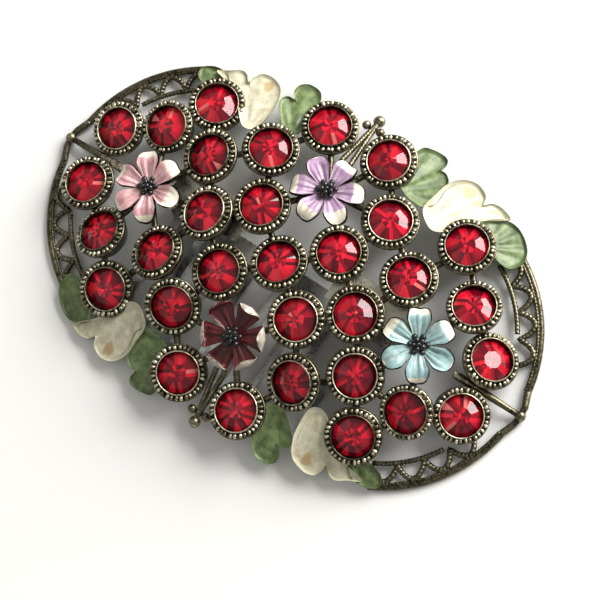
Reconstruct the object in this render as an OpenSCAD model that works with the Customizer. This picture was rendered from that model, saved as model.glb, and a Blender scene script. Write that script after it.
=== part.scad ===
// Ornamental hair comb: a domed oval of glass stones in turned cups, enamelled flowers
// and leaves and a wire rim, carried by two hinges on a toothed comb that folds flat
// into the hollow behind it. All sizes are in millimetres.
// The ornament looks the same after half a turn about Z, so most pieces come in pairs.

/* [Dome] */
// Height of the middle stone's table above the surface the piece lies on
dome_top = 8.6; // [8.4:0.1:10]
// Fall of the dome along its length, per square millimetre
dome_fall_x = 0.0053; // [0.0045:0.0001:0.0054]
// Fall of the dome across its width, per square millimetre
dome_fall_y = 0.0104; // [0.009:0.0001:0.0106]

/* [Stones and cups] */
// Radius of a stone at its girdle
stone_r = 2.65; // [2.5:0.05:2.7]
// Radius of a stone's flat table
table_r = 1.2; // [1:0.1:1.6]
// Depth of a stone's pavilion, from girdle to point
pavilion_h = 1.6; // [1.3:0.1:1.6]
// Outer radius of a cup that has room on all sides
cup_r = 3.7; // [3.6:0.05:3.7]
// Outer radius of a cup at its base
cup_base_r = 2.9; // [2.6:0.1:3]
// Height of a cup
cup_h = 2.6; // [2.6:0.05:2.8]

/* [Flowers and leaves] */
// Distance from a flower's centre to the tips of its petals
flower_r = 4.5; // [4:0.1:4.6]
// Number of petals on a flower
petal_count = 6; // [5:1:6]
// Upward tilt of a petal in degrees
petal_tilt = 12; // [5:1:15]
// Thickness of petals and leaves
sheet_t = 0.5; // [0.4:0.1:0.6]

/* [Rim] */
// Radius of the round ends of the oval, to the middle of the outer wire
rim_r = 19.5; // [19.3:0.1:19.6]
// Distance from the middle of the piece to the centre of each round end
rim_centre_x = 15; // [14.9:0.1:15.2]
// Radius of the outer rim wire
rim_wire_r = 0.5; // [0.4:0.05:0.55]
// Width of the band of zigzag wire inside the rim
zigzag_band = 2.6; // [2.2:0.1:2.8]
// Zigzag waves in one quarter of the rim
zigzag_waves = 4; // [4:1:6]

/* [Hinge] */
// Distance from the middle of the piece to the middle of each hinge
hinge_x = 13; // [12.5:0.1:13.5]
// Position of the hinge axis across the piece
hinge_y = 2.6; // [2.4:0.1:2.8]
// Height of the hinge axis
hinge_z = 1.5; // [1.4:0.05:1.6]
// Outer radius of a hinge knuckle
knuckle_r = 1.2; // [1.15:0.05:1.25]
// Radius of a hinge pin
pin_r = 0.6; // [0.5:0.05:0.65]

/* [Comb] */
// Length of the comb's spine
comb_w = 36; // [35:1:40]
// Thickness of the comb
comb_t = 1.1; // [1:0.05:1.15]
// Number of teeth
tooth_count = 9; // [8:1:10]
// Width of a tooth at its root
tooth_w = 1.1; // [0.9:0.1:1.3]
// Length of a tooth
tooth_l = 14; // [10:0.5:14]

/* [Hidden] */

$fn = 32;

// Plan positions of one cup of each pair; the other is half a turn round.
cup_places = [
    [-19.5, 13.5], [-29.5, 4], [-23.5, 7.5], [-29, -4], [-23.5, -8.5],
    [-18.5, -14.5], [-16, 7], [-12, 0.5], [-15, -7], [-9, -12],
    [-9.5, 12], [-6, 5], [-5, 18.5], [4, 18.5], [-6, -5]
];
// How much smaller than cup_r the cups of each pair are, where their neighbours crowd them.
crowding = [0, 0.1, 0.25, 0.05, 0.2, 0, 0, 0, 0, 0, 0, 0, 0, 0, 0];
// The cups were soldered by eye and lean off the dome's normal. Each pair has the lean in
// degrees and the direction it leans in plan, for its first cup and then for the other.
cup_leans = [
    [15, -20, 0, 0], [15, -60, 0, 0], [15, -75, 15, -145], [10, 40, 15, 80],
    [15, 125, 15, 155], [10, 15, 10, -145], [10, -110, 0, 0], [10, 180, 0, 0],
    [15, 145, 10, 165], [15, -25, 0, 0], [10, 0, 15, -145], [0, 0, 0, 0],
    [10, -50, 15, 105], [15, -105, 15, 50], [0, 0, 0, 0]
];
centre_lean = [10, 140];
end_flower_place = [-20.5, -0.5];
side_flower_place = [0, 11];

all_cups = concat([[0, 0]], cup_places, [for (p = cup_places) -p]);
all_flowers = [end_flower_place, -end_flower_place, side_flower_place, -side_flower_place];

crown_top = 0.1;       // table below the dome's surface
crown_h = 0.65;        // table to girdle
girdle_t = 0.1;
seat_gap = 0.03;       // room between a stone and its cup
lip_t = 0.2;           // thin bezel edge round the stone
bead_drop = 0.25;      // beaded ring below the bezel edge
bead_out_r = 3.35;     // where the beaded ring ends
flange_z = -0.6;       // plain outer edge: its top and its bottom
flange_low_z = -1.1;

petal_r = 1.45;
petal_root_w = 0.8;
petal_sink = 0.8;
hub_r = 1.1;
post_r = 0.6;
stamen_base_r = 0.92;
stamen_base_h = 0.4;
stamen_ring_r = 0.62;
stamen_r = 0.34;
stamen_rise = 0.1;     // middle of a ring bead above the base
middle_stamen_r = 0.29;
middle_stamen_rise = 0.22;

leaf_sink = 1.8;
leaf_cut_r = 3.2;      // leaves are cut away this far from a cup's axis
leaf_cut_reach = 10;   // only cups this close to a leaf are cut from it
lobe_neck = 0.9;       // half width of a leaf beside a lobe, as a part of the lobe's radius

bar_r = 0.42;
bar_sink = 1.9;
bar_bite = 2.6;        // a bar starts this far from its cup's axis, inside the wall
cup_reach = 8.4;       // cups closer than this are joined by a bar
flower_reach = 9.1;    // and a flower's post to the cups this close

rim_z = rim_wire_r;
rim_from = 9;          // angles of the rim wires about the centre of their round end
rim_to = 66;
inner_from = 31;       // the inner wires start past the end cups
inner_to = 63;
zigzag_w = 0.55;
zigzag_t = 0.7;
inner_wire_r = 0.35;

end_ball_r = 0.75;
end_ball = [35.1, 0, end_ball_r];
end_bar_root = [25.6, 0, 2.9];
end_bar_r = 0.45;
end_arm_r = 0.42;
side_ball = [-0.5, 22.5, 2.1];
side_ball_r = 0.8;
small_ball_r = 0.6;
small_ball_offset = [1.05, -1.25, 0.5];
small_arm_r = 0.35;
side_wire_r = 0.38;
knee_offset_x = 0.75;  // where the side wires cross the ring of cups
knee_y = 15.6;
knee_sink = 1.3;
knee_r = 0.5;
side_foot = [0.3, 11.4];
side_foot_sink = 1.7;

plate_l = 11.5;
plate_w = 4.9;
plate_y = 1.85;
plate_t = 0.6;
plate_bite = 0.12;     // how far a plate is let into the cups above it
drop_t = 0.8;          // strap from plate to knuckle
drop_gap = 0.3;        // strap's top below the level of the cup bases
leaf_knuckle_l = 3.4;
comb_knuckle_l = 2.2;
knuckle_gap = 0.2;
pin_head_r = 0.95;
pin_head_l = 0.4;
pin_press = 0.01;
pin_running = 0.06;

spine_top_y = 0.8;
spine_w = 2.6;
tooth_tip_w = 0.7;
tooth_inset = 1;       // outer teeth to the ends of the spine
tooth_bite = 0.5;      // teeth start this far inside the spine
arm_z = 0.3;           // arms from spine to knuckles
arm_t = 0.8;
tooth_pitch = (comb_w - tooth_w - 2 * tooth_inset) / (tooth_count - 1);

function dome_z(p) = dome_top - dome_fall_x * p.x * p.x - dome_fall_y * p.y * p.y;
function slope(p) = [2 * dome_fall_x * p.x, 2 * dome_fall_y * p.y];
function tilt(p) = atan(norm(slope(p)));
function sunk(p, d) = [p.x, p.y, dome_z(p) - d];

// Puts its children on the dome at p, with local +Z along the dome's normal.
module on_dome(p) {
    s = slope(p);
    translate([p.x, p.y, dome_z(p)])
        if (norm(s) > 0) rotate(a = tilt(p), v = [-s.y, s.x, 0]) children();
        else children();
}

// Its children, and the same again after half a turn.
module both_ways() {
    for (turn = [0, 180]) rotate([0, 0, turn]) children();
}

// A round bar of radius r from a to b.
module bar(a, b, r) {
    d = b - a;
    translate(a)
        rotate([0, acos(d.z / norm(d)), atan2(d.y, d.x)])
            cylinder(h = norm(d), r = r);
}

// ---- stones in cups ----

module cup(r) {
    bore_r = stone_r + seat_gap;
    girdle_z = -(crown_top + crown_h + girdle_t + seat_gap);
    point_z = girdle_z - pavilion_h;
    color([0.42, 0.40, 0.32])
        rotate_extrude($fn = 48)
            polygon([
                [0, -cup_h], [cup_base_r, -cup_h], [r, flange_low_z], [r, flange_z],
                [bead_out_r, -bead_drop], [bore_r + lip_t, -bead_drop],
                [bore_r + lip_t, 0], [bore_r, 0], [bore_r, girdle_z], [0, point_z]
            ]);
}

module stone() {
    girdle_z = -(crown_top + crown_h);
    color([0.72, 0.02, 0.07])
        rotate_extrude($fn = 48)
            polygon([
                [0, -crown_top], [table_r, -crown_top], [stone_r, girdle_z],
                [stone_r, girdle_z - girdle_t], [0, girdle_z - girdle_t - pavilion_h]
            ]);
}

// Leans its children off local +Z, towards the direction given in degrees.
module leaning(lean, direction) {
    rotate(a = lean, v = [-sin(direction), cos(direction), 0]) children();
}

module in_centre() {
    on_dome([0, 0]) leaning(centre_lean[0], centre_lean[1]) children();
}

// Its children in the places of both cups of pair i.
module in_pair(i) {
    for (other = [0, 1])
        rotate([0, 0, 180 * other])
            on_dome(cup_places[i])
                leaning(cup_leans[i][2 * other], cup_leans[i][2 * other + 1] - 180 * other)
                    children();
}

module cup_pair(i) {
    in_pair(i) cup(cup_r - crowding[i]);
}

module stone_pair(i) {
    in_pair(i) stone();
}

// ---- flowers ----

module petal() {
    tip_r = flower_r - petal_r;
    rotate([0, -petal_tilt, 0])
        linear_extrude(sheet_t)
            union() {
                translate([tip_r, 0]) circle(petal_r);
                polygon([
                    [0, -petal_root_w / 2], [tip_r, -petal_r],
                    [tip_r, petal_r], [0, petal_root_w / 2]
                ]);
            }
}

module flower(p) {
    on_dome(p) translate([0, 0, -petal_sink]) {
        cylinder(r = hub_r, h = sheet_t);
        translate([0, 0, petal_sink - cup_h])
            cylinder(r = post_r, h = cup_h - petal_sink + sheet_t / 2);
        for (i = [0:petal_count - 1]) rotate([0, 0, 360 * i / petal_count]) petal();
    }
}

module stamens(p) {
    base_z = sheet_t - petal_sink;
    color([0.04, 0.04, 0.05])
        on_dome(p) translate([0, 0, base_z]) {
            cylinder(r = stamen_base_r, h = stamen_base_h);
            translate([0, 0, stamen_base_h + middle_stamen_rise]) sphere(middle_stamen_r);
            for (a = [0:72:288])
                rotate([0, 0, a])
                    translate([stamen_ring_r, 0, stamen_base_h + stamen_rise]) sphere(stamen_r);
        }
}

// ---- leaves ----

// A leaf plate whose lobes are circles [x, y, r] in plan, joined to its root point.
// It is cut away where the cups stand.
module leaf(root, lobes) {
    middle = [for (k = [0, 1]) (root[k] + 2 * lobes[0][k]) / 3];
    difference() {
        on_dome(middle) translate([0, 0, -leaf_sink])
            linear_extrude(sheet_t) translate(-middle) {
                for (l = lobes) {
                    away = [l[0], l[1]] - root;
                    side = [-away.y, away.x] / norm(away) * l[2] * lobe_neck;
                    translate([l[0], l[1]]) circle(l[2]);
                    polygon([root, [l[0], l[1]] + side, [l[0], l[1]] - side]);
                }
            }
        for (p = all_cups)
            if (norm(p - middle) < leaf_cut_reach)
                on_dome(p) cylinder(r = leaf_cut_r, h = 4 * cup_h, center = true);
    }
}

module leaf_pair(tint, root, lobes) {
    color(tint) both_ways() leaf(root, lobes);
}

// ---- wires ----

// Places its children on quarter q of the rim: 0 is +X +Y, then anticlockwise.
module on_quarter(q) {
    flip = q == 1 || q == 3 ? 1 : 0;
    rotate([0, 0, q >= 2 ? 180 : 0])
        mirror([flip, 0, 0])
            translate([rim_centre_x, 0, rim_z])
                children();
}

module arc_wire(r, wire_r, from, to) {
    rotate([0, 0, from])
        rotate_extrude(angle = to - from, $fn = 96)
            translate([r, 0]) circle(wire_r, $fn = 24);
}

module rim_wire(q) {
    color([0.40, 0.38, 0.31]) on_quarter(q) arc_wire(rim_r, rim_wire_r, rim_from, rim_to);
}

module inner_wires() {
    color([0.36, 0.34, 0.28])
        for (q = [0:3])
            on_quarter(q) translate([0, 0, 0.3])
                arc_wire(rim_r - zigzag_band - inner_wire_r, inner_wire_r, inner_from, inner_to);
}

// Flat wave of wire between the inner wire and the rim wire.
module zigzag() {
    steps = zigzag_waves * 12;
    middle_r = rim_r - rim_wire_r / 2 - zigzag_band / 2;
    reach = (zigzag_band - zigzag_w) / 2;
    from = rim_from + 8;
    function wave(k, side) = middle_r + side * zigzag_w * 0.7
        - reach * cos(360 * zigzag_waves * k / steps);
    function at(k, side) = let (a = from + (inner_to - from) * k / steps)
        wave(k, side) * [cos(a), sin(a)];
    translate([0, 0, -zigzag_t / 2])
        linear_extrude(zigzag_t)
            polygon(concat(
                [for (k = [0:steps]) at(k, 1)],
                [for (k = [steps:-1:0]) at(k, -1)]
            ));
}

module zigzag_wires() {
    color([0.38, 0.36, 0.29]) for (q = [0:3]) on_quarter(q) translate([0, 0, 0.15]) zigzag();
}

// ---- ball ornaments ----

module end_ornaments() {
    color([0.42, 0.40, 0.32])
        both_ways() {
            translate(end_ball) sphere(end_ball_r);
            bar(end_ball, end_bar_root, end_bar_r);
            for (side = [-1, 1])
                bar(end_ball, [rim_centre_x + rim_r * cos(rim_from),
                    side * rim_r * sin(rim_from), rim_z], end_arm_r);
        }
}

module side_ornaments() {
    color([0.42, 0.40, 0.32])
        both_ways() {
            translate(side_ball) sphere(side_ball_r);
            for (side = [-1, 1]) {
                offset = small_ball_offset;
                small = side_ball + [side * offset.x, offset.y, offset.z];
                translate(small) sphere(small_ball_r);
                bar(side_ball, small, small_arm_r);
                knee = sunk([side_ball.x + side * knee_offset_x, knee_y], knee_sink);
                bar(side_ball, knee, side_wire_r);
                bar(knee, sunk([side * side_foot.x, side_foot.y], side_foot_sink), side_wire_r);
                translate(knee) sphere(knee_r);
            }
        }
}

// ---- frame ----

// A bar between the posts or cups at a and b, which it enters by their bite distances.
module frame_bar(a, b, bite_a, bite_b) {
    from = sunk(a, bar_sink);
    to = sunk(b, bar_sink);
    along = (to - from) / norm(to - from);
    bar(from + along * bite_a, to - along * bite_b, bar_r);
}

module frame_bars() {
    color([0.34, 0.32, 0.26]) {
        for (i = [0:len(all_cups) - 2], j = [i + 1:len(all_cups) - 1])
            if (norm(all_cups[i] - all_cups[j]) < cup_reach)
                frame_bar(all_cups[i], all_cups[j], bar_bite, bar_bite);
        for (f = all_flowers, c = all_cups)
            if (norm(f - c) < flower_reach)
                frame_bar(f, c, post_r - 0.15, bar_bite);
    }
}

// ---- hinges ----

// Leaf of the hinge on one side (-1 left, 1 right): a plate under the cups, a drop and
// the middle knuckle.
module hinge_leaf(side) {
    place = [side * hinge_x, plate_y];
    color([0.45, 0.43, 0.33])
        difference() {
            union() {
                translate([place.x, place.y, dome_z(place)])
                    rotate([0, side * atan(slope(place).x * side), 0])
                        translate([-plate_l / 2, -plate_w / 2, -cup_h - plate_t + plate_bite])
                            cube([plate_l, plate_w, plate_t]);
                translate([place.x - leaf_knuckle_l / 2, hinge_y + knuckle_r - drop_t, hinge_z])
                    cube([leaf_knuckle_l, drop_t, dome_z(place) - cup_h - hinge_z - drop_gap]);
                knuckle(place.x, leaf_knuckle_l);
            }
            hinge_bore(pin_r - pin_press);
        }
}

module knuckle(x, l) {
    translate([x - l / 2, hinge_y, hinge_z])
        rotate([0, 90, 0]) cylinder(r = knuckle_r, h = l);
}

module hinge_bore(r) {
    translate([-comb_w / 2, hinge_y, hinge_z])
        rotate([0, 90, 0]) cylinder(r = r, h = comb_w);
}

module hinge_pins() {
    grip = leaf_knuckle_l / 2 + comb_knuckle_l + 2 * knuckle_gap;
    color([0.6, 0.58, 0.5])
        for (side = [-1, 1])
            translate([side * hinge_x - grip, hinge_y, hinge_z])
                rotate([0, 90, 0]) {
                    cylinder(r = pin_r, h = 2 * grip);
                    translate([0, 0, -pin_head_l]) cylinder(r = pin_head_r, h = pin_head_l);
                    translate([0, 0, 2 * grip]) cylinder(r = pin_head_r, h = pin_head_l);
                }
}

// ---- comb ----

module tooth(x) {
    root_y = spine_top_y - spine_w + tooth_bite;
    tip_y = root_y - tooth_l;
    translate([x, 0]) {
        polygon([
            [-tooth_w / 2, root_y], [-tooth_tip_w / 2, tip_y],
            [tooth_tip_w / 2, tip_y], [tooth_w / 2, root_y]
        ]);
        translate([0, tip_y]) circle(tooth_tip_w / 2);
    }
}

module comb_plate() {
    end_r = spine_w / 2;
    mid_y = spine_top_y - end_r;
    translate([-comb_w / 2 + end_r, mid_y - end_r]) square([comb_w - spine_w, spine_w]);
    for (side = [-1, 1]) translate([side * (comb_w / 2 - end_r), mid_y]) circle(end_r);
    for (i = [0:tooth_count - 1]) tooth((i - (tooth_count - 1) / 2) * tooth_pitch);
}

module comb() {
    off = leaf_knuckle_l / 2 + knuckle_gap + comb_knuckle_l / 2;
    color([0.47, 0.45, 0.36])
        difference() {
            union() {
                linear_extrude(comb_t) comb_plate();
                for (side = [-1, 1], end = [-1, 1]) {
                    x = side * hinge_x + end * off;
                    knuckle(x, comb_knuckle_l);
                    translate([x - comb_knuckle_l / 2, spine_top_y - spine_w / 2, arm_z])
                        cube([comb_knuckle_l, hinge_y - spine_top_y + spine_w / 2, arm_t]);
                }
            }
            hinge_bore(pin_r + pin_running);
        }
}

// ---- nodes ----

green = [0.33, 0.50, 0.24];
cream = [0.88, 0.86, 0.74];

in_centre() cup(cup_r);  // cup_centre
cup_pair(0);  // cup_01
cup_pair(1);  // cup_02
cup_pair(2);  // cup_03
cup_pair(3);  // cup_04
cup_pair(4);  // cup_05
cup_pair(5);  // cup_06
cup_pair(6);  // cup_07
cup_pair(7);  // cup_08
cup_pair(8);  // cup_09
cup_pair(9);  // cup_10
cup_pair(10);  // cup_11
cup_pair(11);  // cup_12
cup_pair(12);  // cup_13
cup_pair(13);  // cup_14
cup_pair(14);  // cup_15
in_centre() stone();  // stone_centre
stone_pair(0);  // stone_01
stone_pair(1);  // stone_02
stone_pair(2);  // stone_03
stone_pair(3);  // stone_04
stone_pair(4);  // stone_05
stone_pair(5);  // stone_06
stone_pair(6);  // stone_07
stone_pair(7);  // stone_08
stone_pair(8);  // stone_09
stone_pair(9);  // stone_10
stone_pair(10);  // stone_11
stone_pair(11);  // stone_12
stone_pair(12);  // stone_13
stone_pair(13);  // stone_14
stone_pair(14);  // stone_15
color([0.9, 0.72, 0.74]) flower(end_flower_place);  // flower_pink
color([0.55, 0.74, 0.76]) flower(-end_flower_place);  // flower_blue
color([0.74, 0.6, 0.78]) flower(side_flower_place);  // flower_lilac
color([0.4, 0.05, 0.1]) flower(-side_flower_place);  // flower_maroon
stamens(end_flower_place);  // stamens_pink
stamens(-end_flower_place);  // stamens_blue
stamens(side_flower_place);  // stamens_lilac
stamens(-side_flower_place);  // stamens_maroon
leaf_pair(green, [-7.5, 15.5], [[-10, 20.2, 2], [-11.8, 17.8, 1.7]]);  // leaf_green_side_a
leaf_pair(cream, [-13.5, 14], [[-15.6, 18.3, 2.2], [-18, 17.6, 1.5]]);  // leaf_white_a
leaf_pair(green, [-18.5, 15], [[-22.6, 16.8, 1.8], [-20.2, 17.2, 1.3]]);  // leaf_green_rim_a
leaf_pair(green, [6.5, 17.5], [[9, 21.3, 1.9], [10.4, 18.7, 1.8]]);  // leaf_green_side_b
leaf_pair(cream, [12.2, 15.8], [[14.4, 19.5, 2.2], [17.8, 19.3, 1.9]]);  // leaf_white_b
leaf_pair(green, [19.5, 15.5], [[22.4, 17, 2.2]]);  // leaf_green_rim_b
rim_wire(0);  // rim_wire_ne
rim_wire(1);  // rim_wire_nw
rim_wire(2);  // rim_wire_sw
rim_wire(3);  // rim_wire_se
zigzag_wires();
inner_wires();
end_ornaments();
side_ornaments();
frame_bars();
hinge_leaf(-1);  // hinge_leaf_left
hinge_leaf(1);  // hinge_leaf_right
hinge_pins();
comb();
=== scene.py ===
"""Looks for the ornamental hair comb: glass stones in beaded cups, enamelled flowers and
leaves, a filigree rim and a folding comb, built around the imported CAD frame.

Lengths are written in millimetres and multiplied by MM when they reach a mesh.
"""

import math
import random

import bpy
import numpy as np
from mathutils import Matrix, Vector


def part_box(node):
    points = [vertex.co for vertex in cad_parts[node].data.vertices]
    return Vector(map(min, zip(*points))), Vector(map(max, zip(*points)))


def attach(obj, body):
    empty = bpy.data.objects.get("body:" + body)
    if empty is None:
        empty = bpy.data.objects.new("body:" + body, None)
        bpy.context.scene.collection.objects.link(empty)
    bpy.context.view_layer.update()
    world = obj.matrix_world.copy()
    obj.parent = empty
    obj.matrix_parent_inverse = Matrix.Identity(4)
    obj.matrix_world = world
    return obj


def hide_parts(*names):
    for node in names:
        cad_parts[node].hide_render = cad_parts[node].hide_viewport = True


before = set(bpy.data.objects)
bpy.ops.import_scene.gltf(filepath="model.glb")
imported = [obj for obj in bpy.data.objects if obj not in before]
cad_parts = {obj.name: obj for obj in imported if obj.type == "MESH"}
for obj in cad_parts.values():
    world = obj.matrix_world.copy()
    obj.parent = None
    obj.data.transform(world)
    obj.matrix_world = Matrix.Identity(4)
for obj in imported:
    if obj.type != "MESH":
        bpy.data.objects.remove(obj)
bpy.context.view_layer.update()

MM = 0.001
TAU = 2 * math.pi
random.seed(7)


# ---- meshes ----

class Shape:
    """Vertices in millimetres and faces, with a tone per vertex and a shade per face for the
    materials to read."""

    def __init__(self):
        self.verts = []
        self.faces = []
        self.tone = []
        self.shade = []
        self.slots = []

    def add(self, verts, faces, tone=0.0, slot=0, shade=0.0):
        start = len(self.verts)
        self.verts.extend(Vector(v) for v in verts)
        self.tone.extend(tone if isinstance(tone, list) else [tone] * len(verts))
        self.faces.extend([start + i for i in f] for f in faces)
        self.shade.extend(shade if isinstance(shade, list) else [shade] * len(faces))
        self.slots.extend([slot] * len(faces))

    def add_shape(self, other, matrix):
        start = len(self.verts)
        self.verts.extend(matrix @ v for v in other.verts)
        self.tone.extend(other.tone)
        self.faces.extend([start + i for i in f] for f in other.faces)
        self.shade.extend(other.shade)
        self.slots.extend(other.slots)

    def build(self, name, materials, smooth=True):
        mesh = bpy.data.meshes.new(name)
        mesh.from_pydata([v * MM for v in self.verts], [], self.faces)
        for material in materials:
            mesh.materials.append(material)
        for polygon, slot in zip(mesh.polygons, self.slots):
            polygon.material_index = slot
            polygon.use_smooth = smooth
        tone = mesh.attributes.new("tone", "FLOAT", "POINT")
        tone.data.foreach_set("value", self.tone)
        shade = mesh.attributes.new("shade", "FLOAT", "FACE")
        shade.data.foreach_set("value", self.shade)
        mesh.validate()
        mesh.update()
        piece = bpy.data.objects.new(name, mesh)
        bpy.context.scene.collection.objects.link(piece)
        return piece


def stand_for(piece, body, slot, *nodes):
    """The piece rides on a body and hides the CAD nodes it stands for. Its slot argument is not
    used.
    """
    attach(piece, body)
    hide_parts(*nodes)
    return piece


def grid_faces(rows, columns, wrap):
    """Quads between rows of points, each row closed on itself when wrap is true."""
    faces = []
    for i in range(rows - 1):
        for j in range(columns if wrap else columns - 1):
            k = (j + 1) % columns
            faces.append((i * columns + j, i * columns + k,
                          (i + 1) * columns + k, (i + 1) * columns + j))
    return faces


def lathe(profile, steps):
    """Surface of revolution about Z through (radius, z) points; both ends lie on the axis."""
    verts = [(0, 0, profile[0][1])]
    for r, z in profile[1:-1]:
        for j in range(steps):
            a = TAU * j / steps
            verts.append((r * math.cos(a), r * math.sin(a), z))
    verts.append((0, 0, profile[-1][1]))
    rings = len(profile) - 2
    faces = [(0, 1 + (j + 1) % steps, 1 + j) for j in range(steps)]
    for face in grid_faces(rings, steps, True):
        faces.append(tuple(i + 1 for i in face))
    last = len(verts) - 1
    top = 1 + (rings - 1) * steps
    faces += [(last, top + j, top + (j + 1) % steps) for j in range(steps)]
    return verts, faces


def ball(centre, radius, rings=7, steps=12, squash=1.0):
    """A sphere, or a flattened one."""
    profile = [(0, -radius * squash)]
    for i in range(1, rings):
        a = math.pi * i / rings
        profile.append((radius * math.sin(a), -radius * squash * math.cos(a)))
    profile.append((0, radius * squash))
    verts, faces = lathe(profile, steps)
    return [Vector(v) + Vector(centre) for v in verts], faces


def resample(points, step):
    """Points about step apart along the polyline, with their distances along it."""
    points = [Vector(p) for p in points]
    lengths = [0.0]
    for a, b in zip(points, points[1:]):
        lengths.append(lengths[-1] + (b - a).length)
    count = max(2, round(lengths[-1] / step))
    out = []
    i = 0
    for k in range(count + 1):
        s = lengths[-1] * k / count
        while i < len(points) - 2 and lengths[i + 1] < s:
            i += 1
        t = (s - lengths[i]) / max(1e-9, lengths[i + 1] - lengths[i])
        out.append((points[i].lerp(points[i + 1], t), s))
    return out, lengths[-1]


def sweep(points, radius, sides=10, step=0.12):
    """A tube along points. radius(s, angle, length) gives the distance from its middle.
    Its tone is bright where the radius is large."""
    samples, length = resample(points, step)
    verts = []
    reach = []
    for k, (p, s) in enumerate(samples):
        ahead = samples[min(k + 1, len(samples) - 1)][0]
        behind = samples[max(k - 1, 0)][0]
        along = (ahead - behind).normalized()
        side = along.cross(Vector((0, 0, 1)))
        side = side.normalized() if side.length > 1e-6 else Vector((1, 0, 0))
        up = side.cross(along)
        for j in range(sides):
            a = TAU * j / sides
            r = radius(s, a, length)
            verts.append(p + (side * math.cos(a) + up * math.sin(a)) * r)
            reach.append(r)
    low, high = min(reach), max(reach)
    tones = [0.15 + 0.65 * (r - low) / max(high - low, 0.15) for r in reach]
    faces = [tuple(reversed(f)) for f in grid_faces(len(samples), sides, True)]
    faces.append(tuple(range(sides)))
    faces.append(tuple(range(len(verts) - sides, len(verts)))[::-1])
    return verts, faces, tones


def rope(r, pitch=1.0, strands=2, depth=0.26):
    """Radius rule of a twisted wire."""
    def rule(s, angle, length):
        return r * (1 - depth + depth * abs(math.cos(strands / 2 * (angle - TAU * s / pitch))))
    return rule


def beaded(r, pitch=0.52, depth=0.24):
    """Radius rule of a wire rolled into a row of beads."""
    def rule(s, angle, length):
        return r * (1 - depth + depth * abs(math.sin(math.pi * s / pitch)))
    return rule


def tapered(r_from, r_to):
    """Radius rule of a plain wire that changes size along its length."""
    def rule(s, angle, length):
        return r_from + (r_to - r_from) * s / length
    return rule


def smooth_loop(points, parts):
    """Closed Catmull-Rom curve through plan points."""
    out = []
    n = len(points)
    for i in range(n):
        p0, p1, p2, p3 = (Vector(points[(i + d) % n]) for d in (-1, 0, 1, 2))
        for k in range(parts):
            t = k / parts
            out.append(0.5 * (2 * p1 + (p2 - p0) * t + (2 * p0 - 5 * p1 + 4 * p2 - p3) * t * t
                              + (3 * p1 - p0 - 3 * p2 + p3) * t ** 3))
    return out


# ---- places taken from the frame ----

def node_points(node):
    return np.array([v.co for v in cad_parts[node].data.vertices]) / MM


def lean_to(axis):
    """The shortest turn that takes +Z to axis."""
    return Vector((0, 0, 1)).rotation_difference(axis).to_matrix().to_4x4()


def seats(node):
    """Places of a node's round pieces: matrices with +Z along the axis and the top at z = 0."""
    points = node_points(node)
    first = points[:, :2] @ points[0, :2]
    groups = [points] if node.endswith("centre") else [points[first > 0], points[first <= 0]]
    out = []
    for group in groups:
        middle = group.mean(0)
        values, axes = np.linalg.eigh(np.cov((group - middle).T))
        axis = Vector(axes[:, 0])
        if axis.z < 0:
            axis = -axis
        along = (group - middle) @ np.array(axis)
        top = Vector(middle) + axis * along.max()
        out.append(Matrix.Translation(top) @ lean_to(axis))
    return out


def fit_dome(places):
    """Height and fall of the dome z = top - ax x^2 - ay y^2 through the tops of the cups."""
    rows = np.array([[1, -p.translation.x ** 2, -p.translation.y ** 2] for p in places])
    z = np.array([p.translation.z for p in places])
    return np.linalg.lstsq(rows, z, rcond=None)[0]


def fit_circle(node):
    """Centre and radius, in plan, of the crest of a wire that follows a circle."""
    points = node_points(node)
    crest = points[points[:, 2] > points[:, 2].max() - 0.01, :2]
    rows = np.column_stack([2 * crest, np.ones(len(crest))])
    a, b, c = np.linalg.lstsq(rows, (crest ** 2).sum(1), rcond=None)[0]
    return Vector((a, b)), math.sqrt(c + a * a + b * b)


CUPS = ["cup_centre"] + ["cup_%02d" % i for i in range(1, 16)]
cup_seats = {name: seats(name) for name in CUPS}
all_seats = [seat for group in cup_seats.values() for seat in group]
dome_top, dome_ax, dome_ay = fit_dome(all_seats)


def dome_z(x, y):
    return dome_top - dome_ax * x * x - dome_ay * y * y


def dome_seat(x, y, sink=0.0):
    """A place on the dome at plan point x, y, with +Z along the dome's normal."""
    normal = Vector((2 * dome_ax * x, 2 * dome_ay * y, 1)).normalized()
    spot = Vector((x, y, dome_z(x, y))) - normal * sink
    return Matrix.Translation(spot) @ lean_to(normal)


# ---- materials ----

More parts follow.
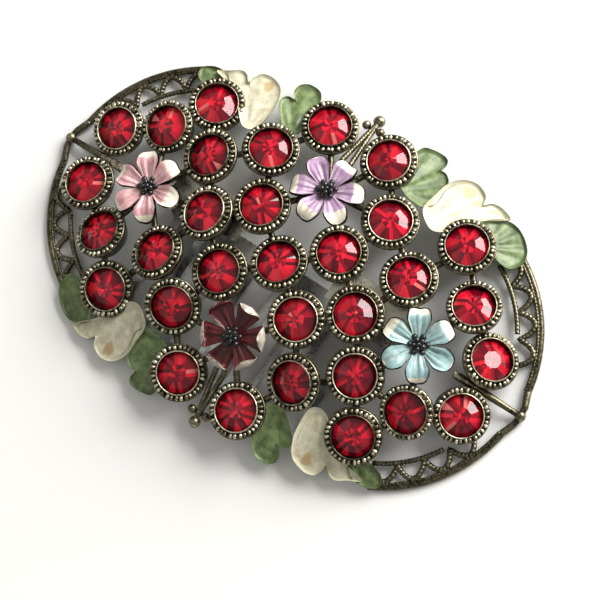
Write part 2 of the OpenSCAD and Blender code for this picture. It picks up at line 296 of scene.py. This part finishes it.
class Nodes:
    """Short helpers for building a material's node tree."""

    def __init__(self, name):
        self.material = bpy.data.materials.new(name)
        self.material.use_nodes = True
        self.tree = self.material.node_tree
        self.shader = self.tree.nodes["Principled BSDF"]

    def new(self, kind, **values):
        node = self.tree.nodes.new(kind)
        for key, value in values.items():
            setattr(node, key, value)
        return node

    def link(self, source, target):
        self.tree.links.new(source, target)

    def set(self, **values):
        for key, value in values.items():
            self.shader.inputs[key.replace("_", " ")].default_value = value

    def noise(self, scale, detail=4.0, roughness=0.6):
        node = self.new("ShaderNodeTexNoise")
        node.inputs["Scale"].default_value = scale / MM
        node.inputs["Detail"].default_value = detail
        node.inputs["Roughness"].default_value = roughness
        coords = self.new("ShaderNodeTexCoord")
        self.link(coords.outputs["Object"], node.inputs["Vector"])
        return node.outputs["Fac"]

    def ramp(self, source, stops):
        node = self.new("ShaderNodeValToRGB")
        elements = node.color_ramp.elements
        while len(elements) < len(stops):
            elements.new(0.5)
        for element, (place, colour) in zip(elements, stops):
            element.position = place
            element.color = (*colour, 1)
        self.link(source, node.inputs["Fac"])
        return node.outputs["Color"]

    def range(self, source, low, high, to_low=0.0, to_high=1.0):
        node = self.new("ShaderNodeMapRange", interpolation_type="SMOOTHSTEP")
        for key, value in (("From Min", low), ("From Max", high),
                           ("To Min", to_low), ("To Max", to_high)):
            node.inputs[key].default_value = value
        self.link(source, node.inputs["Value"])
        return node.outputs["Result"]

    def math(self, operation, a, b):
        node = self.new("ShaderNodeMath", operation=operation)
        for socket, value in zip(node.inputs, (a, b)):
            if isinstance(value, (int, float)):
                socket.default_value = value
            else:
                self.link(value, socket)
        return node.outputs[0]

    def mix(self, factor, a, b):
        node = self.new("ShaderNodeMix", data_type="RGBA")
        sockets = [s for s in node.inputs if s.enabled]
        for socket, value in zip(sockets, (factor, a, b)):
            if isinstance(value, (int, float)):
                socket.default_value = value
            elif isinstance(value, tuple):
                socket.default_value = (*value, 1)
            else:
                self.link(value, socket)
        return next(s for s in node.outputs if s.enabled)

    def stored(self, name):
        """A value that the mesh keeps: tone per vertex or shade per face."""
        return self.new("ShaderNodeAttribute", attribute_name=name).outputs["Fac"]

    def edges(self, low=0.49, high=0.56):
        """1 on raised edges, 0 in hollows."""
        return self.range(self.new("ShaderNodeNewGeometry").outputs["Pointiness"], low, high)

    def bump(self, height, strength, distance):
        node = self.new("ShaderNodeBump")
        node.inputs["Strength"].default_value = strength
        node.inputs["Distance"].default_value = distance * MM
        self.link(height, node.inputs["Height"])
        self.link(node.outputs["Normal"], self.shader.inputs["Normal"])


def antique_metal(name, dark, mid, bright, lift=0.0):
    """Tarnished white brass: dark where dirt stays, rubbed bright on what stands proud."""
    m = Nodes(name)
    grain = m.noise(3.0, 4)
    cloud = m.noise(0.5, 4)
    wear = m.math("ADD", m.stored("tone"), m.range(grain, 0.3, 0.7, -0.18, 0.18))
    wear = m.math("ADD", wear, m.range(cloud, 0.3, 0.7, lift - 0.12, lift + 0.12))
    colour = m.mix(m.range(wear, 0.05, 0.5), dark, mid)
    colour = m.mix(m.range(wear, 0.5, 1.0), colour, bright)
    m.link(colour, m.shader.inputs["Base Color"])
    m.set(Metallic=1.0)
    m.link(m.range(grain, 0.3, 0.7, 0.26, 0.44), m.shader.inputs["Roughness"])
    m.bump(grain, 0.35, 0.06)
    return m.material


def ruby_crown():
    """The polished upper facets of a stone: red glass. Its shade paints onto the colour the light
    and dark reflected from the foiled facets under it, and above 1 a painted spark."""
    m = Nodes("ruby_crown")
    shade = m.stored("shade")
    # painted reflections: dark to bright red by shade, and a painted spark where shade passes 1
    colour = m.mix(shade, (0.15, 0.001, 0.010), (0.98, 0.012, 0.040))
    colour = m.mix(m.range(shade, 1.1, 1.5), colour, (1.0, 0.22, 0.20))
    m.link(colour, m.shader.inputs["Base Color"])
    m.set(Roughness=0.02, IOR=1.5, Transmission_Weight=0.3, Specular_IOR_Level=0.6)
    return m.material


def ruby_foil():
    """The foiled lower facets, seen through the crown, with light and dark painted on each facet
    as reflections.
    """
    m = Nodes("ruby_foil")
    # painted reflections: each facet dark or bright by its shade
    colour = m.mix(m.stored("shade"), (0.22, 0.03, 0.05), (1.0, 0.75, 0.62))
    m.link(colour, m.shader.inputs["Base Color"])
    m.set(Metallic=1.0, Roughness=0.12)
    return m.material


def enamel(name, colour, deep, edge, gloss=0.0, ridge=0.0):
    """Cold enamel: tone 1 has the edge colour, tone 2 bare dark metal, tone -1 a brown stain.
    Ridge is how far raised creases turn pale: partly paint worn pale there, partly a painted
    highlight."""
    m = Nodes(name)
    cloud = m.noise(0.9, 5)
    fine = m.noise(5.0, 3)
    paint = m.mix(m.range(cloud, 0.3, 0.7), deep, colour)
    tone = m.math("ADD", m.stored("tone"), m.range(cloud, 0.3, 0.7, -0.2, 0.2))
    paint = m.mix(m.range(tone, 0.35, 0.7), paint, edge)
    paint = m.mix(m.range(tone, -0.3, -0.9), paint, (0.50, 0.36, 0.17))
    paint = m.mix(m.range(tone, 1.3, 1.7), paint, (0.03, 0.03, 0.02))
    # raised creases turn pale: partly worn paint, partly a painted highlight
    paint = m.mix(m.math("MULTIPLY", m.edges(0.505, 0.54), ridge), paint, CREAM)
    # hollows darkened towards the deep colour: painted shade in creases and grooves
    paint = m.mix(m.math("MULTIPLY", m.edges(0.495, 0.46), 0.75), paint, deep)
    chips = m.math("MULTIPLY", m.edges(0.66, 0.76), m.range(fine, 0.45, 0.6))
    m.link(m.mix(chips, paint, (0.10, 0.09, 0.06)), m.shader.inputs["Base Color"])
    m.link(m.range(fine, 0.3, 0.7, 0.35 - gloss, 0.55 - gloss), m.shader.inputs["Roughness"])
    m.set(Coat_Weight=0.2, Coat_Roughness=0.15)
    m.bump(fine, 0.3, 0.06)
    return m.material


CREAM = (0.84, 0.78, 0.62)
METAL_DARK = (0.022, 0.020, 0.014)
METAL_MID = (0.17, 0.15, 0.095)
METAL_BRIGHT = (0.80, 0.74, 0.56)

cup_metal = antique_metal("cup_metal", METAL_DARK, METAL_MID, METAL_BRIGHT)
wire_metal = antique_metal("wire_metal", METAL_DARK, METAL_MID, METAL_BRIGHT)
bar_metal = antique_metal("bar_metal", METAL_DARK, METAL_MID, METAL_BRIGHT, 0.3)
leaf_metal = antique_metal("leaf_metal", (0.30, 0.285, 0.23), (0.58, 0.56, 0.46),
                           METAL_BRIGHT, 0.45)
comb_metal = antique_metal("comb_metal", (0.50, 0.50, 0.48), (0.78, 0.78, 0.76),
                           (0.88, 0.87, 0.84), 0.45)
crown_glass = ruby_crown()
foil = ruby_foil()
black_enamel = enamel("black_enamel", (0.012, 0.012, 0.014), (0.004, 0.004, 0.005),
                      (0.10, 0.10, 0.11), 0.25)
green_enamel = enamel("green_enamel", (0.22, 0.29, 0.11), (0.07, 0.11, 0.035),
                      (0.05, 0.09, 0.03))
cream_enamel = enamel("cream_enamel", (0.74, 0.70, 0.53), (0.50, 0.46, 0.31),
                      (0.16, 0.22, 0.10))
FLOWERS = {
    "pink": enamel("pink_enamel", (0.84, 0.54, 0.55), (0.58, 0.27, 0.29), CREAM, 0, 0.3),
    "blue": enamel("blue_enamel", (0.38, 0.55, 0.54), (0.20, 0.34, 0.35), CREAM, 0, 0.25),
    "lilac": enamel("lilac_enamel", (0.56, 0.38, 0.54), (0.30, 0.17, 0.30), CREAM, 0, 0.3),
    "maroon": enamel("maroon_enamel", (0.14, 0.008, 0.014), (0.06, 0.003, 0.006), CREAM),
}


# ---- cups and stones ----

GIRDLE_R = 2.65
GIRDLE_Z = -0.75
TABLE_R = 1.15
TABLE_Z = -0.1
# Steps of painted light and dark for the stones' facets; 1.6 gives a painted spark on the crown.
FACET_SHADES = [0.0, 0.0, 0.05, 0.1, 0.2, 0.3, 0.4, 0.6, 0.8, 1.0, 1.0] * 4 + [1.6]
BEADS = 32
BEAD_RING = 3.2
BEAD_INSET = 0.35
WIDE_CUP_R = 3.7
FLANGE_Z = -0.6


def cup_shape(r):
    """A turned cup of outer radius r: a thin bezel round the stone, a ring of beads, then a
    plain edge and wall."""
    shape = Shape()
    lip = random.uniform(0.35, 0.9)
    profile = [(0, -2.6, 0), (2.85, -2.6, 0.2), (2.92, -2.5, 0.2), (r - 0.3, -1.6, 0.25),
               (r - 0.04, -1.15, 0.3), (r, -1.0, 0.4), (r, FLANGE_Z - 0.15, 0.5),
               (r - 0.06, FLANGE_Z, 0.55), (r - 0.16, FLANGE_Z + 0.02, 0.25),
               (3.1, FLANGE_Z + 0.06, 0.0), (2.92, FLANGE_Z + 0.16, 0.1),
               (2.88, -0.1, lip - 0.2), (2.82, -0.02, lip), (2.75, -0.02, lip),
               (2.7, -0.08, lip - 0.3), (2.68, -0.74, 0.1), (2.5, -0.98, 0.1),
               (0.1, -2.45, 0.1), (0, -2.46, 0.1)]
    steps = 56
    verts, faces = lathe([(x, z) for x, z, t in profile], steps)
    tones = [profile[0][2]]
    for x, z, t in profile[1:-1]:
        tones += [t] * steps
    shape.add(verts, faces, tones + [profile[-1][2]])
    for k in range(BEADS):
        a = TAU * (k + random.uniform(-0.2, 0.2)) / BEADS
        size = random.uniform(0.26, 0.33)
        spare = max(0.0, r - WIDE_CUP_R) + min(0.0, r - BEAD_INSET - BEAD_RING)
        away = BEAD_RING + spare + random.uniform(-0.05, 0.05)
        worn = random.uniform(0.55, 1.05)
        verts, faces = ball((0, 0, 0), size, rings=6, steps=9)
        rise = [v.z / size for v in verts]
        stretch = Matrix.Diagonal((random.uniform(1.15, 1.5), random.uniform(0.8, 1.0), 1, 1))
        spot = Matrix.Rotation(a, 4, "Z") @ Matrix.Translation((away, 0, FLANGE_Z + 0.16))
        shape.add([spot @ stretch @ v for v in verts], faces,
                  [worn * max(0.05, 0.4 + 0.65 * h) for h in rise])
    return shape


def facet_shades(count):
    """Painted brightness of each facet or sliver of one, standing for light and dark reflections.
    """
    return [random.choice(FACET_SHADES) for _ in range(count)]


def ring(r, z, angles):
    return [(r * math.cos(a), r * math.sin(a), z) for a in angles]


def along(a, b, t):
    return tuple(p + (q - p) * t for p, q in zip(a, b))


def crown_shape(shape, corners, girdle_ring):
    """Octagonal table and eight crown facets with corners between, all split into slivers with
    painted reflections of the facets under them."""
    table = ring(TABLE_R, TABLE_Z, corners)
    culet = ring(0.38 * TABLE_R, TABLE_Z, corners)
    for k in range(8):
        n = (k + 1) % 8
        middle = along(table[k], table[n], 0.5)
        low = girdle_ring[2 * k + 1]
        high = girdle_ring[2 * n]
        third = along(low, high, 0.35)
        second = along(low, high, 0.65)
        slivers = [((0, 0, TABLE_Z), culet[k], culet[n]), (culet[k], table[k], middle),
                   (culet[k], middle, culet[n]), (culet[n], middle, table[n]),
                   (table[k], girdle_ring[2 * k], low), (table[k], low, third),
                   (table[k], third, middle), (middle, third, second),
                   (middle, second, table[n]), (table[n], second, high)]
        # a random painted light or dark for each group of slivers, standing for reflections
        # inside the stone
        shades = facet_shades(6)
        for sliver, wedge in zip(slivers, (0, 1, 1, 2, 3, 3, 4, 4, 5, 5)):
            shape.add(sliver, [(0, 1, 2)], slot=0, shade=shades[wedge])


def stone_shape():
    """A chaton: faceted crown, narrow girdle and eight-sided foiled point."""
    shape = Shape()
    corners = [TAU * (k + 0.5) / 8 for k in range(8)]
    girdle_angles = []
    for a in corners:
        girdle_angles += [a - TAU / 60, a + TAU / 60]
    crown_shape(shape, corners, ring(GIRDLE_R, GIRDLE_Z, girdle_angles))
    low = GIRDLE_Z - 0.1
    depth = 1.6
    verts = ring(GIRDLE_R, GIRDLE_Z, girdle_angles) + ring(GIRDLE_R, low, girdle_angles)
    verts += ring(GIRDLE_R * 0.5, low - depth * 0.5, corners) + [(0, 0, low - depth)]
    faces = []
    for k in range(16):
        n = (k + 1) % 16
        faces.append((n, k, 16 + k, 16 + n))
    for k in range(8):
        n = (k + 1) % 8
        faces.append((32 + k, 16 + 2 * k + 1, 16 + 2 * k))
        faces.append((32 + k, 32 + n, 16 + 2 * n, 16 + 2 * k + 1))
        faces.append((40, 32 + n, 32 + k))
    # each foiled facet gets a random painted light or dark
    shape.add(verts, faces, slot=1, shade=facet_shades(len(faces)))
    return shape


def cup_radius(node, place):
    """Outer radius of a CAD cup, measured across its axis."""
    inverse = place.inverted()
    local = [inverse @ Vector(p) for p in node_points(node)]
    near = [math.hypot(p.x, p.y) for p in local if math.hypot(p.x, p.y) < 5 and p.z > -3]
    return max(near)


def build_cups_and_stones():
    for name, places in cup_seats.items():
        cups = Shape()
        stones = Shape()
        for place in places:
            turn = Matrix.Rotation(random.uniform(0, TAU), 4, "Z")
            cups.add_shape(cup_shape(cup_radius(name, place)), place @ turn)
            lean = Matrix.Rotation(math.radians(random.uniform(-2, 2)), 4, "X")
            stones.add_shape(stone_shape(), place @ turn @ lean)
        stand_for(cups.build("seen_" + name, [cup_metal]), "ornament", "cup_metal", name)
        stone = name.replace("cup", "stone")
        piece = stones.build("seen_" + stone, [crown_glass, foil], smooth=False)
        stand_for(piece, "ornament", "ruby_glass", stone)


# ---- flowers ----

def petal_shape(bend, cream):
    """One petal along +X with lengthwise creases. Its tip folds up and back by bend degrees,
    or rolls down when bend is negative. Cream is how much of the tip is painted cream."""
    shape = Shape()
    phases = [random.uniform(0, TAU) for _ in range(3)]
    rows, columns = 24, 21
    folded = bend > 0
    length = 5.5 if folded else 4.7
    half = 1.7 if folded else 1.42
    lift = 2 if folded else 15
    spine = []
    x = z = 0.0
    for i in range(rows):
        s = i / (rows - 1)
        angle = math.radians(lift + bend * max(0.0, (s - 0.6) / 0.4))
        if i:
            x += length / (rows - 1) * math.cos(angle)
            z += length / (rows - 1) * math.sin(angle)
        spine.append((s, x, z, angle))
    for side in (1, -1):
        verts = []
        tones = []
        for s, x, z, angle in spine:
            if s > 0.62:
                width = max(0.12, math.sqrt(max(0.0, 1 - ((s - 0.62) / 0.385) ** 2)))
            else:
                width = 0.3 + 0.7 * (s / 0.62) ** 1.2
            for j in range(columns):
                v = 2 * j / (columns - 1) - 1
                crease = 0.09 * math.cos(5.5 * v + phases[0] + 0.8 * s)
                crease += 0.06 * math.cos(11 * v + phases[1] - s)
                crease += 0.03 * math.cos(23 * v + phases[2])
                crease *= max(0.0, math.sin(math.pi * min(1.0, 1.2 * s))) ** 0.7
                dish = 0.34 * v * v * width
                up = dish + crease + side * 0.13 * (1 - 0.5 * abs(v) ** 4)
                verts.append((x - up * math.sin(angle), v * half * width,
                              z + up * math.cos(angle)))
                if side > 0:
                    tip = 0.0 if folded else (s - 0.95 + 0.33 * cream) / 0.1
                    tones.append(max(0.0, min(1.0, tip)))
                else:
                    tones.append(cream if s > 0.5 else 0.0)
        faces = grid_faces(rows, columns, False)
        if side < 0:
            faces = [tuple(reversed(f)) for f in faces]
        shape.add(verts, faces, tones)
    per_side = rows * columns
    border = [i * columns for i in range(rows)]
    border += [(rows - 1) * columns + j for j in range(1, columns)]
    border += [i * columns + columns - 1 for i in range(rows - 2, -1, -1)]
    rim = [(b, a, a + per_side, b + per_side) for a, b in zip(border, border[1:])]
    shape.add([], [[i - len(shape.verts) for i in f] for f in rim])
    return shape


def flower_frame(node):
    """Place of a flower: the middle of its CAD box in plan, on the dome."""
    low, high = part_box("stamens_" + node)
    middle = (low + high) / 2 / MM
    return dome_seat(middle.x, middle.y)


def build_flower(colour, turn, sink, petals):
    """Six petals given as (bend, cream), a dark back sheet under them, a post and a cluster of
    stamen beads. The petals start sink below the dome."""
    place = flower_frame(colour)
    shape = Shape()
    for k, (bend, cream) in enumerate(petals):
        around = Matrix.Rotation(math.radians(turn + 60 * k), 4, "Z")
        step = Matrix.Translation((0.3, 0, 0.12 * (k % 2) - sink))
        petal = petal_shape(bend, cream)
        petal.slots = [0] * len(petal.faces)
        shape.add_shape(petal, place @ around @ step)
        if bend > 0:
            continue
        back = petal_shape(bend, 0)
        back.slots = [1] * len(back.faces)
        back.tone = [0.1] * len(back.verts)
        grow = Matrix.Diagonal((1.035, 1.1, 1.0, 1.0))
        under = Matrix.Translation((0.3, 0, -0.24 - sink))
        shape.add_shape(back, place @ around @ under @ grow)
    piece = shape.build("seen_flower_" + colour, [FLOWERS[colour], wire_metal])
    stand_for(piece, "ornament", colour + "_enamel", "flower_" + colour)
    stem = Shape()
    verts, faces, tones = sweep([(0, 0, -2.6), (0, 0, -0.4)], tapered(0.6, 0.6), step=1)
    stem.add([place @ v for v in verts], faces, tones)
    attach(stem.build("post_" + colour, [wire_metal]), "ornament")
    beads = Shape()
    spots = [(0, 0)]
    spots += [(0.6 * math.cos(TAU * k / 5), 0.6 * math.sin(TAU * k / 5)) for k in range(5)]
    spots += [(1.1 * math.cos(TAU * k / 6 + 0.5), 1.1 * math.sin(TAU * k / 6 + 0.5))
              for k in range(6)]
    for x, y in spots:
        z = 0.42 - 0.25 * (x * x + y * y) + random.uniform(-0.06, 0.06)
        verts, faces = ball((x, y, z), random.uniform(0.36, 0.46), rings=6, steps=10)
        beads.add([place @ v for v in verts], faces)
    piece = beads.build("seen_stamens_" + colour, [black_enamel])
    stand_for(piece, "ornament", "black_enamel", "stamens_" + colour)


# Turn in degrees, depth under the dome and six petals of each flower, as (bend, cream).
PETALS = {
    "pink": (3, 0.4, [(-75, 1), (-90, 1), (-60, 0.7), (-70, 0.7), (-50, 0.4), (-70, 0.6)]),
    "blue": (0, 0.4, [(-50, 0.1), (-75, 0.9), (-90, 0.8), (-80, 0.9), (-50, 0.1), (-70, 0.5)]),
    "lilac": (23, 0.8, [(-75, 1), (-85, 1), (-50, 0.1), (-80, 0.8), (-75, 1), (-70, 1)]),
    "maroon": (26, 1.15, [(165, 1), (150, 1), (120, 0.5), (165, 1), (160, 1), (165, 1)]),
}


# ---- leaves ----

def leaf_shape(outline, root, sink, stain=None):
    """A leaf with a raised edge and veins that run from its root, lying under the dome. A
    cream leaf has a brown stain round the plan point stain."""
    shape = Shape()
    loop = smooth_loop(outline, 6)
    middle = sum(loop, Vector((0, 0))) / len(loop)
    rings = 16
    for side in (1, -1):
        verts = []
        tones = []
        for i in range(rings + 1):
            rho = i / rings
            for p in loop:
                q = middle.lerp(p, rho)
                away = q - Vector(root)
                ridge = math.cos(13 * math.atan2(away.y, away.x)) * min(1, away.length / 2)
                inside = 1 - rho ** 8
                lip = 0.34 * math.exp(-((1 - rho) / 0.07) ** 2)
                z = dome_z(q.x, q.y) - sink + 0.10 * ridge * inside + lip + 0.2 * rho ** 2
                verts.append((q.x, q.y, z + side * 0.16))
                tone = 0.62 * math.exp(-((rho - 0.9) / 0.035) ** 2)
                tone += 0.35 * max(0.0, -ridge) ** 3 * inside
                if stain:
                    tone -= 1.3 * math.exp(-((q - Vector(stain)).length / 1.0) ** 2)
                tones.append(tone if side > 0 else 1.0)
        faces = grid_faces(rings + 1, len(loop), True)
        if side < 0:
            faces = [tuple(reversed(f)) for f in faces]
        shape.add(verts, faces, tones)
    n = len(loop)
    top = rings * n
    low = (rings + 1) * n + top
    rim = [(low + k, low + (k + 1) % n, top + (k + 1) % n, top + k) for k in range(n)]
    shape.add([], [[i - len(shape.verts) for i in f] for f in rim])
    return shape


# Plan outline, root, depth under the dome and stain of one leaf of each pair.
LEAVES = {
    "leaf_green_side_a": ([(-8, 15.5), (-8.2, 18), (-8.3, 20.4), (-9.3, 21.9), (-11, 22.1),
                           (-12.1, 21.4), (-12.2, 20.2), (-11.4, 19.3), (-12.4, 19.2),
                           (-12.9, 18.3), (-12.2, 17), (-10, 15.2)], (-8.5, 14.5), 1.7, None),
    "leaf_white_a": ([(-13, 13.2), (-12.7, 15.5), (-12.9, 17.6), (-13.8, 19.5), (-15.5, 20.3),
                      (-17.2, 20.1), (-17.9, 19), (-18.1, 18.2), (-19, 19), (-20, 19.1),
                      (-21.3, 18.3), (-22.8, 17.4), (-20.5, 16.8), (-18.4, 16),
                      (-16, 13.6), (-14.5, 12.6)], (-14, 12.4), 1.45, (-15.3, 18.9)),
    "leaf_green_rim_a": ([(-24.3, 15.4), (-25, 16.8), (-23.6, 17.8), (-21.8, 17.9),
                          (-20.8, 17.4), (-20, 16.2), (-21.6, 15)], (-19.5, 15.5), 1.6, None),
    "leaf_green_side_b": ([(6, 17.5), (5.8, 20), (6.2, 22.4), (7.6, 23), (9.4, 23),
                           (10, 22.2), (9.7, 21.2), (10.7, 21.1), (11.6, 20.3),
                           (12, 18.8), (12, 16.8), (10.6, 15.6), (8, 16)], (7, 15.8), 1.7, None),
    "leaf_white_b": ([(11.2, 15.5), (11.4, 18.2), (11.8, 20.2), (13.1, 21.7), (14.9, 22.1),
                      (16.4, 21.4), (16.9, 20.2), (17.8, 21), (19.2, 21.1), (20.6, 20.5),
                      (19.8, 19.6), (18.2, 18.4), (16.5, 16.4), (15.2, 14.5),
                      (13.4, 13.8)], (13, 14), 1.45, (14.6, 20.6)),
    "leaf_green_rim_b": ([(18.2, 18), (19.4, 19.6), (21.3, 20.2), (23.2, 19.5), (24.7, 18),
                          (25.1, 16.4), (24.3, 15), (22.6, 14.9), (20.4, 16)],
                         (20, 15.5), 1.6, None),
}


def build_leaves():
    half_turn = Matrix.Rotation(math.pi, 4, "Z")
    for node, (outline, root, sink, stain) in LEAVES.items():
        leaf = leaf_shape(outline, root, sink, stain)
        both = Shape()
        both.add_shape(leaf, Matrix.Identity(4))
        both.add_shape(leaf, half_turn)
        cream = "white" in node
        piece = both.build("seen_" + node, [cream_enamel if cream else green_enamel])
        stand_for(piece, "ornament", "cream_enamel" if cream else "green_enamel", node)


# ---- rim and wires ----

def arc(centre, r, start, end, z, count=60):
    """Points of a level arc; angles in degrees."""
    angles = [math.radians(start + (end - start) * k / count) for k in range(count + 1)]
    return [(centre.x + r * math.cos(a), centre.y + r * math.sin(a), z) for a in angles]


ZIGZAG_WAVES = 4
ZIGZAG_STEPS = 192
ZIGZAG_START = 8
ZIGZAG_SWEEP = 47
RIM_QUARTERS = {"rim_wire_ne": (9, 64), "rim_wire_nw": (171, 116),
                "rim_wire_sw": (189, 244), "rim_wire_se": (351, 296)}


def build_rim():
    zigzags = Shape()
    inners = Shape()
    for node, (start, end) in RIM_QUARTERS.items():
        centre, r = fit_circle(node)
        rim = Shape()
        rim.add(*sweep(arc(centre, r + 0.05, start, end, 0.5), rope(0.44, 0.8, 3, 0.15)))
        rim.add(*sweep(arc(centre, r - 0.32, start, end, 0.7), beaded(0.26, 0.45)))
        stand_for(rim.build("seen_" + node, [wire_metal]), "ornament", "wire_metal", node)
        sign = 1 if end > start else -1
        wave = []
        for k in range(ZIGZAG_STEPS + 1):
            t = k / ZIGZAG_STEPS
            a = math.radians(start + sign * (ZIGZAG_START + ZIGZAG_SWEEP * t))
            w = r - 2.6 + 1.95 * abs(math.sin(math.pi * ZIGZAG_WAVES * t)) ** 0.9
            wave.append((centre.x + w * math.cos(a), centre.y + w * math.sin(a), 0.75))
        zigzags.add(*sweep(wave, beaded(0.4, 0.5, 0.2)))
        inner = arc(centre, r - 2.9, start + sign * 22, start + sign * 54, 0.95)
        inners.add(*sweep(inner, rope(0.36)))
    stand_for(zigzags.build("seen_zigzag_wires", [wire_metal]), "ornament", "wire_metal",
              "zigzag_wires")
    stand_for(inners.build("seen_inner_wires", [wire_metal]), "ornament", "wire_metal",
              "inner_wires")


def build_ornaments():
    half_turn = Matrix.Rotation(math.pi, 4, "Z")
    centre, r = fit_circle("rim_wire_ne")
    ends = Shape()
    tip = Vector((35.1, 0, 0.75))
    ends.add(*ball(tip, 0.74, rings=10, steps=16), 0.55)
    ends.add(*sweep([tip, (31, 0, 2.0), (25.6, 0, 3.2)], tapered(0.36, 0.62)))
    for side in (1, -1):
        a = math.radians(9)
        foot = (centre.x + r * math.cos(a), side * r * math.sin(a), 0.5)
        ends.add(*sweep([tip, (35.0, side * 1.2, 0.7), foot], tapered(0.42, 0.5)))
    sides = Shape()
    top = Vector((-0.5, 22.5, 2.1))
    sides.add(*ball(top, 0.79, rings=10, steps=16), 0.55)
    for side in (1, -1):
        small = top + Vector((side * 1.05, -1.25, 0.5))
        sides.add(*ball(small, 0.6, rings=9, steps=14), 0.55)
        knee = (top.x + side * 0.62, 15.6, dome_z(0, 15.6) - 1.3)
        sides.add(*sweep([top, knee, (side * 0.3, 11.6, dome_z(0, 11.6) - 1.7)],
                         rope(0.38, 0.9)))
    for shape, node in ((ends, "end_ornaments"), (sides, "side_ornaments")):
        both = Shape()
        both.add_shape(shape, Matrix.Identity(4))
        both.add_shape(shape, half_turn)
        stand_for(both.build("seen_" + node, [wire_metal]), "ornament", "wire_metal", node)


# ---- hardware kept from CAD, with softened edges ----

def soften(node, body, slot, width, material):
    """A copy of a CAD part with rounded edges stands for it."""
    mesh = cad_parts[node].data.copy()
    piece = bpy.data.objects.new("seen_" + node, mesh)
    bpy.context.scene.collection.objects.link(piece)
    bevel = piece.modifiers.new("edges", "BEVEL")
    bevel.width = width * MM
    bevel.segments = 3
    bevel.limit_method = "ANGLE"
    mesh.materials.clear()
    mesh.materials.append(material)
    stand_for(piece, body, slot, node)


def build_hardware():
    soften("comb", "comb", "comb_metal", 0.25, comb_metal)
    for node in ("hinge_leaf_left", "hinge_leaf_right", "hinge_pins"):
        soften(node, "ornament", "hinge_metal", 0.12, leaf_metal)
    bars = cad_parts["frame_bars"].data
    bars.materials.clear()
    bars.materials.append(bar_metal)


# ---- stage ----

def build_stage():
    mesh = bpy.data.meshes.new("floor")
    half = 1.2
    mesh.from_pydata([(-half, -half, 0), (half, -half, 0), (half, half, 0), (-half, half, 0)],
                     [], [(0, 1, 2, 3)])
    floor = bpy.data.objects.new("floor", mesh)
    bpy.context.scene.collection.objects.link(floor)
    m = Nodes("paper")
    m.set(Base_Color=(0.90, 0.895, 0.88, 1), Roughness=0.9)
    mesh.materials.append(m.material)


# Camera axes: the object is turned by these angles, in degrees, in front of the camera.
VIEW_TILT = (-11.24, -11.10, -33.47)
VIEW_DISTANCE = 323.2
VIEW_OFFSET = (-2.86, 4.92)
VIEW_WIDTH = 75.0
SENSOR = 36.0


def view_rotation():
    """Rotation from the object's frame to the camera's."""
    ax, ay, az = (math.radians(a) for a in VIEW_TILT)
    return Matrix.Rotation(ax, 3, "X") @ Matrix.Rotation(ay, 3, "Y") @ Matrix.Rotation(az, 3, "Z")


def build_camera():
    turn = view_rotation().transposed()
    data = bpy.data.cameras.new("camera")
    data.sensor_width = SENSOR
    data.lens = VIEW_DISTANCE / VIEW_WIDTH * SENSOR
    data.clip_start = 0.01
    camera = bpy.data.objects.new("camera", data)
    place = turn @ Vector((-VIEW_OFFSET[0], -VIEW_OFFSET[1], VIEW_DISTANCE))
    place.z += dome_top
    camera.matrix_world = Matrix.Translation(place * MM) @ turn.to_4x4()
    bpy.context.scene.collection.objects.link(camera)
    bpy.context.scene.camera = camera


def area_light(name, direction, distance, size, power, colour):
    """A soft box in a camera-space direction (right, up, towards the camera)."""
    turn = view_rotation().transposed()
    place = turn @ Vector(direction).normalized() * distance
    data = bpy.data.lights.new(name, "AREA")
    data.shape = "RECTANGLE"
    data.size, data.size_y = size
    data.energy = power
    data.color = colour
    light = bpy.data.objects.new(name, data)
    facing = place.to_track_quat("Z", "Y").to_matrix().to_4x4()
    light.matrix_world = Matrix.Translation(place) @ facing
    bpy.context.scene.collection.objects.link(light)


def build_lights():
    area_light("window", (0.85, 0.85, 0.62), 0.9, (0.7, 0.7), 18.5, (1.0, 0.995, 0.98))
    area_light("fill", (-0.9, 0.2, 1.0), 1.1, (0.7, 0.7), 0.4, (0.97, 0.98, 1.0))
    world = bpy.data.worlds.new("studio")
    world.use_nodes = True
    back = world.node_tree.nodes["Background"]
    back.inputs["Color"].default_value = (1.0, 0.985, 0.94, 1)
    back.inputs["Strength"].default_value = 0.38
    bpy.context.scene.world = world
    bpy.context.scene.view_settings.view_transform = "Standard"


build_camera()
build_stage()
build_lights()
build_cups_and_stones()
for colour, (turn, sink, petals) in PETALS.items():
    build_flower(colour, turn, sink, petals)
build_leaves()
build_rim()
build_ornaments()
build_hardware()
